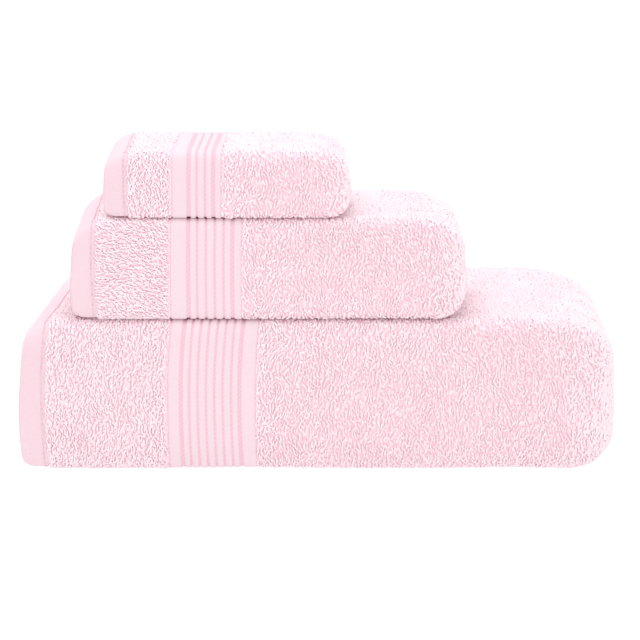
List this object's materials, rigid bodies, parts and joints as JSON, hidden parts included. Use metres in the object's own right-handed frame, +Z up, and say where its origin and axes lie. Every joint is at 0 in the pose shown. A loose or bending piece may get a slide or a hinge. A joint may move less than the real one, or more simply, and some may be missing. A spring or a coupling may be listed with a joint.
{
  "type": "bath towel set",
  "caption": "Stack of folded terry towels: a washcloth on a hand towel on a bath towel, each with a flat end hem and a ribbed woven border.",
  "frame": {"origin": "middle of the flat underside of the whole stack", "axes": "+X to the right along the towels' length, towards the end folds; the smooth last folds face -Y; +Z up"},
  "size_m": [0.356, 0.178, 0.1956],
  "materials": {
    "terry_pile": "looped cotton pile, matte",
    "border_weave": "ribbed satin weave with a slight sheen",
    "hem_weave": "flat plain weave, matte",
    "sewing_thread": "spun polyester thread"
  },
  "bodies": {
    "bath_towel": {"bath_towel_edge_terry": "terry_pile", "bath_towel_end_hem": "hem_weave", "bath_towel_end_hem_sewing": "sewing_thread", "bath_towel_far_edge_terry": "terry_pile", "bath_towel_far_end_hem": "hem_weave", "bath_towel_far_ribbed_border": "border_weave", "bath_towel_inner_layer": "terry_pile", "bath_towel_outer_layer": "terry_pile", "bath_towel_ribbed_border": "border_weave", "bath_towel_second_layer": "terry_pile", "bath_towel_side_hem_sewing": "sewing_thread", "bath_towel_side_hems": "hem_weave", "bath_towel_third_layer": "terry_pile"},
    "hand_towel": {"hand_towel_edge_terry": "terry_pile", "hand_towel_end_hem": "hem_weave", "hand_towel_end_hem_sewing": "sewing_thread", "hand_towel_far_edge_terry": "terry_pile", "hand_towel_far_end_hem": "hem_weave", "hand_towel_far_ribbed_border": "border_weave", "hand_towel_inner_layer": "terry_pile", "hand_towel_outer_layer": "terry_pile", "hand_towel_ribbed_border": "border_weave", "hand_towel_second_layer": "terry_pile", "hand_towel_side_hem_sewing": "sewing_thread", "hand_towel_side_hems": "hem_weave"},
    "washcloth": {"washcloth_edge_terry": "terry_pile", "washcloth_end_hem": "hem_weave", "washcloth_end_hem_sewing": "sewing_thread", "washcloth_far_edge_terry": "terry_pile", "washcloth_far_end_hem": "hem_weave", "washcloth_far_ribbed_border": "border_weave", "washcloth_inner_layer": "terry_pile", "washcloth_outer_layer": "terry_pile", "washcloth_ribbed_border": "border_weave", "washcloth_side_hem_sewing": "sewing_thread", "washcloth_side_hems": "hem_weave"}
  },
  "joints": [
    {"name": "hand_towel_lift", "type": "slide", "parent": "bath_towel", "child": "hand_towel", "axis": [0, 0, 1], "range_m": [0, 0.12]},
    {"name": "washcloth_lift", "type": "slide", "parent": "hand_towel", "child": "washcloth", "axis": [0, 0, 1], "range_m": [0, 0.12]}
  ]
}
